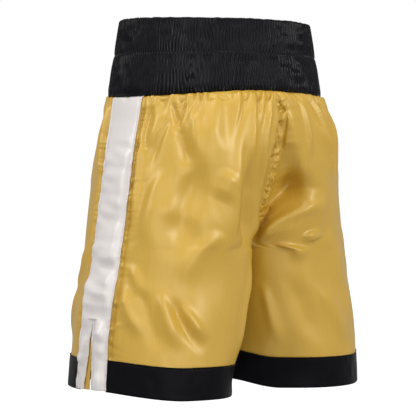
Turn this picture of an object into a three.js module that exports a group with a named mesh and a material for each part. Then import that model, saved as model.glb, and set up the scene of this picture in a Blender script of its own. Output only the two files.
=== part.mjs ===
// Boxing shorts, filled out as they are when worn.
// Millimetres, +Z up, the front faces -Y, the wearer's left is +X.
// The origin is the centre of the waist opening, level with the top edge of the waistband.
import * as THREE from 'three';

// ---- driving dimensions -------------------------------------------------

// Waistband: an ellipse that widens from its top edge to its lower edge.
const BAND_HEIGHT = 95;
const BAND_TOP_HALF_WIDTH = 139;
const BAND_TOP_HALF_DEPTH = 104;
const BAND_LOW_HALF_WIDTH = 157;
const BAND_LOW_HALF_DEPTH = 118;
const BAND_COLUMNS = 36;
const TIER_PINCH = 1.2;

// The cover is folded over the top, so it is two walls with a pocket for the elastics between them.
const COVER_OUTER = 3.4;
const COVER_INNER = -3.4;
const COVER_CLOTH = 1;
const ELASTIC_OUTER = 1.6;
const ELASTIC_INNER = -1.6;
const ELASTIC_EDGE = 3;
const TIER_LEVEL = -46;

// Cloth of the body and legs.
const GAP = 0.3;
const PANEL_CLOTH = 1;
const TRIM_CLOTH = 0.8;
const TRIM_GAP = 0.6;
const WAIST_GAP = 0.8;
const TRIM_OFFSET = PANEL_CLOTH / 2 + TRIM_GAP + TRIM_CLOTH / 2;

// Levels from the waistband down, and the outline of one half of the garment at each.
// side: X of the side seam. crest: X of the fullest point of the seat or thigh. back, front: its depth.
const LEVELS = [-95, -107, -140, -185, -235, -295, -370, -445, -505];
const SIDE = [157, 160, 168, 176, 184, 194, 207, 215, 219];
const CREST = [0, 6, 18, 36, 58, 82, 98, 112, 117];
const BACK = [118, 131, 139, 134, 126, 117, 114, 117, 118];
const FRONT = [118, 124, 132, 129, 120, 111, 110, 113, 114];

// The rise: where the centre seam lies in front and behind, down to the crotch.
const CROTCH_LEVEL = -295;
const CROTCH_Y = 8;
const RISE_LEVELS = [-95, -107, -140, -185, -235, -275, -295];
const BACK_RISE = [118, 124, 121, 111, 92, 52, CROTCH_Y];
const FRONT_RISE = [118, 122, 122, 116, 102, 56, -CROTCH_Y];

// The inner wall of each leg below the crotch.
const SEAM_X = 0.9;
const INSEAM_HEM_X = 17;
const INSEAM_HEM_Y = 4;
const SIDE_HEM_Y = -9;

// The hem: its level round the leg, how much higher each leg hangs, and how much higher still the
// right leg's side does.
const HEM_SIDE = -481;
const HEM_BACK = -491;
const HEM_FRONT = -475;
const HEM_INSEAM = -477;
const LEFT_LEG_LIFT = 1;
const RIGHT_LEG_LIFT = 4;
const RIGHT_SIDE_LIFT = 17;

// How deep the fold beside the centre seam is where the swell of the seat ends and where it has
// become a standing wall, and how square that wall's corner is.
const SWELL_DEPTH = 10;
const WALL_DEPTH = 70;
const WALL_POWER = 0.85;

// Towards the hem the wall softens: from this share of the leg down, by this much at the hem.
const SOFT_FROM = 0.6;
const SOFT_SHARE = 0.15;

// The small steps, down and across, that give the direction out of the cloth.
const NORMAL_STEP_DOWN = 0.004;
const NORMAL_STEP_ACROSS = 0.03;

// How fast the centre seam turns level on its way down to the crotch.
const RISE_POWER = 1.5;

// Trims.
const STRIPE_HALF_WIDTH = 27;
const SLIT_LEVEL = -391;
const SLIT_FRONT_OPENING = 9;
const SLIT_BACK_OPENING = 3;
const VENT_HALF_OPENING = 1.2;
const HEM_BAND_HEIGHT = 40;

// Facets of a panel: its columns from the stripe's edge to the inner edge, and its rows as shares
// of the way from the waistband to the hem.
const PANEL_COLUMNS = 11;
const HEM_BAND_SHARE = HEM_BAND_HEIGHT / (-HEM_SIDE - BAND_HEIGHT);
const CROTCH_SHARE = (-CROTCH_LEVEL - BAND_HEIGHT) / (-HEM_INSEAM - BAND_HEIGHT);
const SLIT_SHARE = (-SLIT_LEVEL - BAND_HEIGHT) / (-HEM_SIDE - BAND_HEIGHT);
const WAIST_ROWS = [0, 0.03, 0.075, 0.14, 0.21, 0.28, 0.35, 0.41, 0.46, 0.5];
const LEG_ROWS = [0.56, 0.62, 0.69];
const HEM_ROWS = [SLIT_SHARE, 0.83, 1 - HEM_BAND_SHARE, 0.95, 1];
const ROWS = [...WAIST_ROWS, CROTCH_SHARE, ...LEG_ROWS, ...HEM_ROWS];

// ---- colours ------------------------------------------------------------

const cloth = (color, roughness) => new THREE.MeshStandardMaterial({ color, roughness, metalness: 0 });
const goldSatin = () => cloth(0xd1a644, 0.38);
const whiteSatin = () => cloth(0xefe9e6, 0.38);
const blackSatin = () => cloth(0x1a181b, 0.5);
const elasticWeb = () => cloth(0x2b2a2c, 0.8);

// ---- helpers ------------------------------------------------------------

// A smooth curve through hand-placed values: cubic between neighbours, with the slope of the
// chord across each inner value.
function through(levels, values, level) {
  const last = levels.length - 1;
  const at = THREE.MathUtils.clamp(level, levels[last], levels[0]);
  let i = 0;
  while (i < last - 1 && at < levels[i + 1]) i += 1;
  const slope = (k) => {
    const a = Math.max(k - 1, 0);
    const b = Math.min(k + 1, last);
    return (values[b] - values[a]) / (levels[b] - levels[a]);
  };
  const span = levels[i + 1] - levels[i];
  const u = (at - levels[i]) / span;
  const u2 = u * u;
  const u3 = u2 * u;
  return (2 * u3 - 3 * u2 + 1) * values[i] + (u3 - 2 * u2 + u) * span * slope(i)
    + (3 * u2 - 2 * u3) * values[i + 1] + (u3 - u2) * span * slope(i + 1);
}

// A closed sheet of cloth from a grid of middle points: two faces, and a wall along every edge
// where a cell has no neighbour. Both faces split a cell along the same diagonal, so a twisted
// cell keeps its thickness. holds(row, column) says whether a cell is cloth or open.
function sheet(points, normals, thickness, holds) {
  const rows = points.length;
  const columns = points[0].length;
  const position = [];
  const index = [];
  const used = new Map();
  const vertex = (row, column, side) => {
    const key = (row * columns + column) * 2 + (side > 0 ? 1 : 0);
    if (!used.has(key)) {
      const p = points[row][column].clone().addScaledVector(normals[row][column], side * thickness / 2);
      used.set(key, position.length / 3);
      position.push(p.x, p.y, p.z);
    }
    return used.get(key);
  };
  const quad = (a, b, c, d) => index.push(a, b, c, a, c, d);
  const cloth = (row, column) => row >= 0 && column >= 0 && row < rows - 1 && column < columns - 1
    && holds(row, column);
  for (let i = 0; i < rows - 1; i += 1) {
    for (let j = 0; j < columns - 1; j += 1) {
      if (!cloth(i, j)) continue;
      const corner = [[i, j], [i + 1, j], [i + 1, j + 1], [i, j + 1]];
      const outer = corner.map(([r, c]) => vertex(r, c, 1));
      const inner = corner.map(([r, c]) => vertex(r, c, -1));
      quad(outer[0], outer[1], outer[2], outer[3]);
      quad(inner[0], inner[3], inner[2], inner[1]);
      const neighbour = [[i, j - 1], [i + 1, j], [i, j + 1], [i - 1, j]];
      neighbour.forEach(([r, c], k) => {
        if (cloth(r, c)) return;
        const n = (k + 1) % 4;
        quad(outer[n], outer[k], inner[k], inner[n]);
      });
    }
  }
  const geometry = new THREE.BufferGeometry();
  geometry.setAttribute('position', new THREE.Float32BufferAttribute(position, 3));
  geometry.setIndex(index);
  return faceOutwards(geometry);
}

// Turns every triangle over if the solid would otherwise be inside out.
function faceOutwards(geometry) {
  const p = geometry.getAttribute('position');
  const index = geometry.getIndex();
  const a = new THREE.Vector3();
  const b = new THREE.Vector3();
  const c = new THREE.Vector3();
  let volume = 0;
  for (let i = 0; i < index.count; i += 3) {
    a.fromBufferAttribute(p, index.getX(i));
    b.fromBufferAttribute(p, index.getX(i + 1));
    c.fromBufferAttribute(p, index.getX(i + 2));
    volume += a.dot(b.cross(c));
  }
  if (volume < 0) {
    for (let i = 0; i < index.count; i += 3) {
      const first = index.getX(i);
      index.setX(i, index.getX(i + 2));
      index.setX(i + 2, first);
    }
  }
  geometry.computeVertexNormals();
  return geometry;
}

// ---- waistband ----------------------------------------------------------

// Half width and half depth of the waistband's middle line at a level, drawn in a little at the
// line between its two tiers.
function bandHalfAxes(level) {
  const u = -level / BAND_HEIGHT;
  const away = (level - TIER_LEVEL) / 12;
  const pinch = TIER_PINCH * Math.exp(-away * away);
  return [
    THREE.MathUtils.lerp(BAND_TOP_HALF_WIDTH, BAND_LOW_HALF_WIDTH, u) - pinch,
    THREE.MathUtils.lerp(BAND_TOP_HALF_DEPTH, BAND_LOW_HALF_DEPTH, u) - pinch,
  ];
}

// A closed section of [distance out from the middle line, level] carried round the waist.
function waistRing(section) {
  const position = [];
  const index = [];
  const count = section.length;
  for (let j = 0; j < BAND_COLUMNS; j += 1) {
    const turn = (2 * Math.PI * j) / BAND_COLUMNS;
    section.forEach(([out, level]) => {
      const [halfWidth, halfDepth] = bandHalfAxes(level);
      const normal = new THREE.Vector2(Math.cos(turn) / halfWidth, Math.sin(turn) / halfDepth).normalize();
      position.push(halfWidth * Math.cos(turn) + out * normal.x);
      position.push(halfDepth * Math.sin(turn) + out * normal.y, level);
    });
    const next = ((j + 1) % BAND_COLUMNS) * count;
    for (let i = 0; i < count; i += 1) {
      const k = (i + 1) % count;
      index.push(j * count + i, j * count + k, next + k, j * count + i, next + k, next + i);
    }
  }
  const geometry = new THREE.BufferGeometry();
  geometry.setAttribute('position', new THREE.Float32BufferAttribute(position, 3));
  geometry.setIndex(index);
  return faceOutwards(geometry);
}

function waistbandCover() {
  const bulge = 0.6;
  const upperMiddle = TIER_LEVEL / 2;
  const lowerMiddle = (TIER_LEVEL - BAND_HEIGHT) / 2;
  const outerWall = [
    [COVER_OUTER, -BAND_HEIGHT],
    [COVER_OUTER + bulge, lowerMiddle],
    [COVER_OUTER, TIER_LEVEL],
    [COVER_OUTER + bulge, upperMiddle],
    [COVER_OUTER, -3],
    [COVER_OUTER / 2, 0],
  ];
  const innerWall = [
    [COVER_INNER / 2, 0],
    [COVER_INNER, -3],
    [COVER_INNER, TIER_LEVEL],
    [COVER_INNER, -BAND_HEIGHT],
  ];
  const pocket = [
    [COVER_INNER + COVER_CLOTH, -BAND_HEIGHT],
    [COVER_INNER + COVER_CLOTH, TIER_LEVEL],
    [COVER_INNER + COVER_CLOTH, -3],
    [COVER_OUTER - COVER_CLOTH, -3],
    [COVER_OUTER - COVER_CLOTH, TIER_LEVEL],
    [COVER_OUTER - COVER_CLOTH, -BAND_HEIGHT],
  ];
  return waistRing([...outerWall, ...innerWall, ...pocket]);
}

function elastic(top, bottom) {
  return waistRing([
    [ELASTIC_OUTER, bottom],
    [ELASTIC_OUTER, top],
    [ELASTIC_INNER, top],
    [ELASTIC_INNER, bottom],
  ]);
}

// ---- body and legs ------------------------------------------------------

// The numbers that shape one row of a left panel, in front or behind. Y counts away from the side
// seam, so it is positive in front as well as behind.
function rowShape(level, isBack) {
  const side = through(LEVELS, SIDE, level);
  const crest = through(LEVELS, CREST, level);
  const depth = through(LEVELS, isBack ? BACK : FRONT, level);
  const rise = through(RISE_LEVELS, isBack ? BACK_RISE : FRONT_RISE, level);
  const below = THREE.MathUtils.smoothstep(-level, -CROTCH_LEVEL, -HEM_INSEAM);
  const backwards = isBack ? 1 : -1;
  const inseamX = THREE.MathUtils.lerp(SEAM_X, INSEAM_HEM_X, below);
  const inseamY = backwards * THREE.MathUtils.lerp(CROTCH_Y, INSEAM_HEM_Y, below) + GAP;
  const innerY = level > CROTCH_LEVEL ? rise : inseamY;
  const outerLength = (0.5 * Math.PI * Math.hypot(side - crest, depth)) / Math.SQRT2;
  const innerLength = Math.hypot(crest - inseamX, depth - innerY);
  const split = outerLength / (outerLength + innerLength);
  const done = THREE.MathUtils.smoothstep((CROTCH_LEVEL - level) / (CROTCH_LEVEL - HEM_INSEAM), SOFT_FROM, 1);
  const firm = 1 - SOFT_SHARE * done;
  return { side, crest, depth, inseamX, innerY, split, firm, shift: backwards * SIDE_HEM_Y * below };
}

// A point of that row. s = 0 at the side seam and 1 at the centre seam or the inseam. The outer
// part is a quarter ellipse from the side to the crest. The inner part turns in from the crest to
// the seam: a soft swell above, and below the crotch a wall that stands along the other leg.
function rowPoint(row, s) {
  if (s <= row.split) {
    const turn = (0.5 * Math.PI * s) / row.split;
    const x = row.crest + (row.side - row.crest) * Math.cos(turn);
    return [x, row.depth * Math.sin(turn) + row.shift * (1 - s / row.split) ** 2];
  }
  const q = (s - row.split) / (1 - row.split);
  const turn = 0.5 * Math.PI * q;
  const width = row.crest - row.inseamX;
  const height = row.depth - row.innerY;
  const fold = row.firm * THREE.MathUtils.smoothstep(height, SWELL_DEPTH, WALL_DEPTH);
  const wallX = 1 - Math.sin(turn) ** WALL_POWER;
  const wallY = Math.cos(turn) ** WALL_POWER;
  const swellY = 0.5 + 0.5 * Math.cos(Math.PI * q);
  return [
    row.inseamX + width * THREE.MathUtils.lerp(1 - q, wallX, fold),
    row.innerY + height * THREE.MathUtils.lerp(swellY, wallY, fold),
  ];
}

// The share s at which a row is a given distance from the side seam.
function shareAt(distance, row) {
  return (row.split * Math.asin(distance / row.depth)) / (0.5 * Math.PI);
}

// A point of a panel's middle surface. u = 0 at the waistband and 1 at the hem, which hangs lower
// in the middle of the back than at the seams. Rows keep the same share of the way down at the
// side as on the inner edge, so they slope towards the crotch, where the rise runs nearly level.
function panelPoint(u, s, face) {
  const isBack = face.y > 0;
  const middle = (isBack ? HEM_BACK : HEM_FRONT) - (HEM_SIDE + HEM_INSEAM) / 2;
  const top = -BAND_HEIGHT - WAIST_GAP;
  const outerLevel = THREE.MathUtils.lerp(top, HEM_SIDE, u);
  const riseLeft = Math.max(1 - u / CROTCH_SHARE, 0);
  const legDone = Math.max((u - CROTCH_SHARE) / (1 - CROTCH_SHARE), 0);
  const riseLevel = THREE.MathUtils.lerp(CROTCH_LEVEL, top, riseLeft ** RISE_POWER);
  const innerLevel = riseLevel + (HEM_INSEAM - CROTCH_LEVEL) * legDone;
  const inwards = THREE.MathUtils.smoothstep(s, 0.3, 1);
  const offSeams = THREE.MathUtils.smoothstep(s, 0, 0.4) * (1 - THREE.MathUtils.smoothstep(s, 0.78, 1));
  const sag = middle * offSeams * u;
  const level = THREE.MathUtils.lerp(outerLevel, innerLevel, inwards) + sag;
  const [x, y] = rowPoint(rowShape(level, isBack), s);
  const lift = face.x > 0 ? LEFT_LEG_LIFT : RIGHT_LEG_LIFT + RIGHT_SIDE_LIFT * (1 - s) ** 2;
  return new THREE.Vector3(face.x * x, face.y * y, level + lift * legDone);
}

// The direction out of the cloth at that point, from its neighbours on the surface.
function panelNormal(u, s, face) {
  const [left, right] = [Math.max(s - NORMAL_STEP_ACROSS, 0), Math.min(s + NORMAL_STEP_ACROSS, 1)];
  const [above, below] = [Math.max(u - NORMAL_STEP_DOWN, 0), Math.min(u + NORMAL_STEP_DOWN, 1)];
  const across = panelPoint(u, right, face).sub(panelPoint(u, left, face));
  const down = panelPoint(below, s, face).sub(panelPoint(above, s, face));
  return down.cross(across).normalize().multiplyScalar(face.x * face.y);
}

// The points and normals of one face at the shares that sharesOf gives for each row.
function faceGrid(face, sharesOf) {
  const points = [];
  const normals = [];
  ROWS.forEach((u) => {
    const row = rowShape(THREE.MathUtils.lerp(-BAND_HEIGHT, HEM_SIDE, u), face.y > 0);
    const shares = sharesOf(row, THREE.MathUtils.smoothstep(u, SLIT_SHARE, 1));
    points.push(shares.map((s) => panelPoint(u, s, face)));
    normals.push(shares.map((s) => panelNormal(u, s, face)));
  });
  return { points, normals };
}

// The grid of a panel: column 0 is its side edge, which stands back from the seam a little as the
// vent opens, column 1 the edge of the stripe, and the last column the inner edge.
function panelGrid(face) {
  return faceGrid(face, (row, opened) => {
    const shares = [shareAt(THREE.MathUtils.lerp(GAP, VENT_HALF_OPENING, opened), row)];
    const stripe = shareAt(STRIPE_HALF_WIDTH, row);
    for (let column = 0; column <= PANEL_COLUMNS; column += 1) {
      shares.push(THREE.MathUtils.lerp(stripe, 1, column / PANEL_COLUMNS));
    }
    return shares;
  });
}

// The grid of half a stripe: its edge at the slit, which opens further in front than behind, and
// its stitched edge.
function halfStripeGrid(face) {
  const opening = face.y > 0 ? SLIT_BACK_OPENING : SLIT_FRONT_OPENING;
  return faceGrid(face, (row, opened) => [
    shareAt(THREE.MathUtils.lerp(GAP, opening, opened), row),
    shareAt(STRIPE_HALF_WIDTH, row),
  ]);
}

// A trim lies on the outside of the panel, a sewing gap away from it.
function laidOver(points, normals) {
  return points.map((row, i) => row.map((p, j) => p.clone().addScaledVector(normals[i][j], TRIM_OFFSET)));
}

function panel(grid) {
  return sheet(grid.points, grid.normals, PANEL_CLOTH, () => true);
}

// The side stripe covers both panels' edges. Below the top of the slit its middle is open.
function sideStripe(front, back) {
  const across = (rows) => ROWS.map((_, i) => [
    rows(front)[i][1],
    rows(front)[i][0],
    rows(back)[i][0],
    rows(back)[i][1],
  ]);
  const normals = across((grid) => grid.normals);
  const points = laidOver(across((grid) => grid.points), normals);
  const slitRow = ROWS.indexOf(SLIT_SHARE);
  return sheet(points, normals, TRIM_CLOTH, (i, j) => j !== 1 || i < slitRow);
}

// A hem band runs from beside the stripe to the inseam.
function hemBand(grid) {
  const firstRow = ROWS.indexOf(1 - HEM_BAND_SHARE);
  const besideStripe = 0.03;
  const trimmed = (rows) => rows.slice(firstRow).map((row) => [
    row[1].clone().lerp(row[2], besideStripe),
    ...row.slice(2),
  ]);
  const normals = trimmed(grid.normals);
  return sheet(laidOver(trimmed(grid.points), normals), normals, TRIM_CLOTH, () => true);
}

// ---- the shorts ---------------------------------------------------------

const shorts = new THREE.Group();

function add(name, geometry, material) {
  const mesh = new THREE.Mesh(geometry, material);
  mesh.name = name;
  shorts.add(mesh);
}

add('waistband_cover', waistbandCover(), blackSatin());
add('waistband_upper_elastic', elastic(-ELASTIC_EDGE - GAP, TIER_LEVEL + ELASTIC_EDGE), elasticWeb());
add('waistband_lower_elastic', elastic(TIER_LEVEL - ELASTIC_EDGE, ELASTIC_EDGE - BAND_HEIGHT), elasticWeb());

[['left', 1], ['right', -1]].forEach(([side, x]) => {
  const front = panelGrid(new THREE.Vector2(x, -1));
  const back = panelGrid(new THREE.Vector2(x, 1));
  add(`front_${side}_panel`, panel(front), goldSatin());
  add(`back_${side}_panel`, panel(back), goldSatin());
  const halves = [-1, 1].map((y) => halfStripeGrid(new THREE.Vector2(x, y)));
  add(`${side}_side_stripe`, sideStripe(...halves), whiteSatin());
  add(`hem_band_front_${side}`, hemBand(front), blackSatin());
  add(`hem_band_back_${side}`, hemBand(back), blackSatin());
});

export default shorts;
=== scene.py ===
# %% [markdown]
# # Satin boxing shorts, filled out as worn
#
# The shorts are eleven cut pieces of satin and two elastics, all sewn together: four gold panels,
# two white side stripes, four black hem bands, and a black waistband with the elastics inside.
# The frame that is loaded first holds each of them as a plain sheet of the right size. This script
# gives each one its cloth: gathers under the waistband, puckers beside every row of stitches,
# soft folds on the seat and legs, shirring on the waistband, thread, and satin that shines.
#
# One idea runs through all of it. A garment is a few smooth surfaces, so every piece here is a
# function of two numbers, how far down (u) and how far round (s), computed for a whole grid at once.

# %% The frame, and the tools
import math

import bmesh
import bpy
import numpy as np
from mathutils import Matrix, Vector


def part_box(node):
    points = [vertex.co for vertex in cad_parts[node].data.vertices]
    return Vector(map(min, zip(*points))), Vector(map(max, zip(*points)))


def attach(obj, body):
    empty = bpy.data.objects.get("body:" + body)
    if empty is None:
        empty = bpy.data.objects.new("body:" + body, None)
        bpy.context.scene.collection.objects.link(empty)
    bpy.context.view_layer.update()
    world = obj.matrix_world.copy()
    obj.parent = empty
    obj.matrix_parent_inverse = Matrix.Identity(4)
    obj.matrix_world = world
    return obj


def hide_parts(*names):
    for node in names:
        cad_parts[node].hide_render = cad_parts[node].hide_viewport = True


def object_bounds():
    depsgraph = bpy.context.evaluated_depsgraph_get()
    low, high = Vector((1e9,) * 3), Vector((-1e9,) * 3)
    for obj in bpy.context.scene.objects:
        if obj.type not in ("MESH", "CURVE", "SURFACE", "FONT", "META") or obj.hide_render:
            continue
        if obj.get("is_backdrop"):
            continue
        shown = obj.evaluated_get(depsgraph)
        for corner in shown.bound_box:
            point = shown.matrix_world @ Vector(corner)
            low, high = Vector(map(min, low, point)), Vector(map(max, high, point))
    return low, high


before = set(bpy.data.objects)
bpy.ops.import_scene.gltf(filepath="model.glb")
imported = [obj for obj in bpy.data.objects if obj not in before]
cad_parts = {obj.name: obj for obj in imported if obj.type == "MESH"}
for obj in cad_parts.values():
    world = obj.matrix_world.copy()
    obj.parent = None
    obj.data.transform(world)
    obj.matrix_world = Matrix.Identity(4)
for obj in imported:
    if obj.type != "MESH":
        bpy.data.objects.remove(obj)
cad_low, cad_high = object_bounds()
print("frame:", sorted(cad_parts))
print("size of the frame in mm:", [round(1000 * (h - l)) for l, h in zip(cad_low, cad_high)])

# %% [markdown]
# ## The camera
#
# The shorts are looked at from behind and from the wearer's left, level with the middle of the
# seat, through a long lens from well back. Turning the camera is simplest with a direction: it
# stands along `behind_left` and looks back down it.

# %% Camera
CAMERA_TURN = math.radians(136)
CAMERA_DISTANCE = 3.6
VIEW_WIDTH = 0.5547
SENSOR = 0.036
AIM_LEFT = 0.010
AIM_DOWN = -0.2472

behind_left = np.array([math.sin(CAMERA_TURN), -math.cos(CAMERA_TURN), 0.0])
picture_right = np.array([math.cos(CAMERA_TURN), math.sin(CAMERA_TURN), 0.0])
aim = -AIM_LEFT * picture_right + np.array([0.0, 0.0, AIM_DOWN])


def put(name, data):
    """Puts a mesh, a camera or a lamp into the scene."""
    thing = bpy.data.objects.new(name, data)
    bpy.context.scene.collection.objects.link(thing)
    return thing


camera_data = bpy.data.cameras.new("camera")
camera = put("camera", camera_data)
bpy.context.scene.camera = camera
camera_data.sensor_width = SENSOR * 1000
camera_data.lens = SENSOR * 1000 * CAMERA_DISTANCE / VIEW_WIDTH
camera.location = aim + CAMERA_DISTANCE * behind_left
camera.rotation_euler = (math.pi / 2, 0, CAMERA_TURN)
print("lens:", round(camera_data.lens), "mm, from", CAMERA_DISTANCE, "m")

# %% [markdown]
# ## Helpers: smooth curves and smooth randomness
#
# Cloth is smooth, so its numbers have to be smooth too. `through` draws a curve through a few
# given values. `wander` is a random line that changes gently, and `wander2` a random
# landscape. Each has a seed, so the cloth creases the same way every time.

# %% Curves and noise
LINE_STEPS, FIELD_STEPS = 4096, 256


def smooth(x, low, high):
    """0 below low, 1 above high, and a soft S between them: 3t^2 - 2t^3."""
    t = np.clip((x - low) / (high - low), 0, 1)
    return t * t * (3 - 2 * t)


def mix(a, b, t):
    """The value a share t of the way from a to b."""
    return a + (b - a) * t


def bell(x, width):
    """A bump 1 high at x = 0 that dies away over the width: exp(-(x/width)^2)."""
    return np.exp(-((x / width) ** 2))


def through(places, values, at):
    """A cubic between each two places, whose slope at a place is that of the chord across it."""
    places, values = np.asarray(places, float), np.asarray(values, float)
    before = np.r_[0, 0:len(places) - 1]
    after = np.r_[1:len(places), len(places) - 1]
    slopes = (values[after] - values[before]) / (places[after] - places[before])
    at = np.clip(at, places[0], places[-1])
    i = np.clip(np.searchsorted(places, at, "right") - 1, 0, len(places) - 2)
    span = places[i + 1] - places[i]
    t = (at - places[i]) / span
    start = (2 * t**3 - 3 * t**2 + 1) * values[i] + (t**3 - 2 * t**2 + t) * span * slopes[i]
    return start + (3 * t**2 - 2 * t**3) * values[i + 1] + (t**3 - t**2) * span * slopes[i + 1]


def wander(x, step, seed):
    """Random heights from -1 to 1, one every step along x, joined by soft S curves."""
    heights = np.random.default_rng(seed).uniform(-1, 1, LINE_STEPS)
    t = np.asarray(x, float) / step + LINE_STEPS / 2
    i = np.floor(t).astype(int)
    return mix(heights[i % LINE_STEPS], heights[(i + 1) % LINE_STEPS], smooth(t - i, 0, 1))


def wander2(x, y, step_x, step_y, seed):
    """The same on a plane: random heights on a grid of steps, joined by soft S curves both ways."""
    heights = np.random.default_rng(seed).uniform(-1, 1, (FIELD_STEPS, FIELD_STEPS))
    tx, ty = x / step_x + FIELD_STEPS / 2, y / step_y + FIELD_STEPS / 2
    i, j = np.floor(tx).astype(int), np.floor(ty).astype(int)
    fx, fy = smooth(tx - i, 0, 1), smooth(ty - j, 0, 1)
    i, j = i % (FIELD_STEPS - 1), j % (FIELD_STEPS - 1)
    near = mix(heights[i, j], heights[i + 1, j], fx)
    far = mix(heights[i, j + 1], heights[i + 1, j + 1], fx)
    return mix(near, far, fy)


def crumple(x, y, step_x, step_y, seed):
    """Cloth creases along sharp lines with soft slopes between them: two landscapes, each folded
    up along its zero line by taking its size without its sign, bent aside by a third."""
    bend = 0.35 * wander2(x, y, 1.7 * step_x, 1.7 * step_y, seed)
    first = np.abs(wander2(x + step_x * bend, y - step_y * bend, step_x, step_y, seed + 1))
    second = np.abs(wander2(x - step_x * bend, y + step_y * bend, 0.6 * step_x, 0.7 * step_y, seed + 2))
    return np.sqrt(first**2 + 0.004) + 0.5 * np.sqrt(second**2 + 0.006) - 0.6


# %% [markdown]
# ## The shape of the body and legs
#
# A body holds the satin out, so the shape underneath is simple: at each level, a quarter ellipse
# runs from the side seam to the fullest point of the seat or thigh, and then turns in to the
# centre seam or, below the crotch, to the inseam. The levels and widths come from the frame's
# boxes, and the shares below say how they are spread between the waistband and the hem.
#
# Cloth hangs a little unevenly. The right leg is drawn up a few millimetres, and its side more. The
# waist seam dips at the sides, and the centre seams lean to one side at the top. The slit opens
# downwards: its front edge swings forward with the stripe's tail, and its back edge hardly moves.

# %% Sizes taken from the frame
cover_low, cover_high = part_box("waistband_cover")
hem_low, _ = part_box("hem_band_back_left")
LEFT_LIFT, RIGHT_LIFT, RIGHT_SIDE_LIFT = 0.001, 0.004, 0.017
STRIPE_PROUD = 0.0009
WAIST = cover_low.z
BAND_HEIGHT = cover_high.z - cover_low.z
LENGTH = WAIST - hem_low.z + LEFT_LIFT
HALF_WIDTH = cad_high.x - STRIPE_PROUD
HALF_DEPTH = cad_high.y
HEM_BAND = 0.040

DOWN = LENGTH * np.array([0, 0.030, 0.113, 0.227, 0.353, 0.504, 0.693, 0.882, 1.033])
SIDE = HALF_WIDTH * np.array([0.715, 0.730, 0.769, 0.806, 0.843, 0.889, 0.948, 0.985, 1.003])
CREST = HALF_WIDTH * np.array([0, 0.027, 0.082, 0.165, 0.266, 0.376, 0.449, 0.513, 0.536])
BACK = HALF_DEPTH * np.array([0.857, 0.944, 0.998, 0.966, 0.908, 0.843, 0.822, 0.843, 0.851])
FRONT = HALF_DEPTH * np.array([0.836, 0.872, 0.945, 0.93, 0.865, 0.80, 0.793, 0.815, 0.822])
RISE_DOWN = LENGTH * np.array([0, 0.030, 0.113, 0.227, 0.353, 0.453, 0.504])
BACK_RISE = HALF_DEPTH * np.array([0.848, 0.892, 0.870, 0.798, 0.662, 0.374, 0.058])
FRONT_RISE = HALF_DEPTH * np.array([0.840, 0.875, 0.875, 0.836, 0.735, 0.404, -0.058])

CROTCH = RISE_DOWN[-1]
HEM_SIDE, HEM_BACK, HEM_FRONT, HEM_INSEAM = LENGTH * np.array([0.970, 0.994, 0.955, 0.962])
CROTCH_U = CROTCH / HEM_INSEAM
CROTCH_Y, INSEAM_HEM_Y, SIDE_HEM_Y = 0.008, 0.004, -0.009
INSEAM_HEM_X = 0.017
STRIPE_HALF = 0.027
SIDE_DIP = 0.0085
SEAM_ASIDE = 0.011
SLIT_TOP_U = 0.7668
SLIT_FRONT, SLIT_BACK, VENT_HALF = 0.013, 0.003, 0.0010
TAIL_SWING = 0.0085
print("hem band:", round(1000 * HEM_BAND), "mm, satin from waist to hem:", round(1000 * LENGTH), "mm")

# %% The surface of a panel
QUARTERS = [(1, True), (1, False), (-1, True), (-1, False)]
NAMES = {True: "back", False: "front"}
SIDES = {1: "left", -1: "right"}


def facing(back):
    """1 where the cloth looks to the back, -1 where it looks to the front."""
    return 1 if back else -1


def seed_of(side, back, first, apart):
    """A seed for one panel: first, and so far apart from the next panel's."""
    return first + apart * QUARTERS.index((side, back))


def row_shape(down, back):
    """The numbers that shape the row at each depth below the waistband."""
    below = smooth(down, CROTCH, HEM_INSEAM)
    depth = through(DOWN, BACK if back else FRONT, down)
    side, crest = through(DOWN, SIDE, down), through(DOWN, CREST, down)
    rise = through(RISE_DOWN, BACK_RISE if back else FRONT_RISE, down)
    sign = facing(back)
    inner_y = np.where(down < CROTCH, rise, sign * mix(CROTCH_Y, INSEAM_HEM_Y, below))
    inner_x = INSEAM_HEM_X * below
    outer_length = 0.5 * math.pi * np.hypot(side - crest, depth) / math.sqrt(2)
    inner_length = np.hypot(crest - inner_x, depth - inner_y)
    split = outer_length / (outer_length + inner_length)
    whole = outer_length + inner_length
    return side, crest, depth, inner_x, inner_y, split, sign * SIDE_HEM_Y * below, whole


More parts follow.
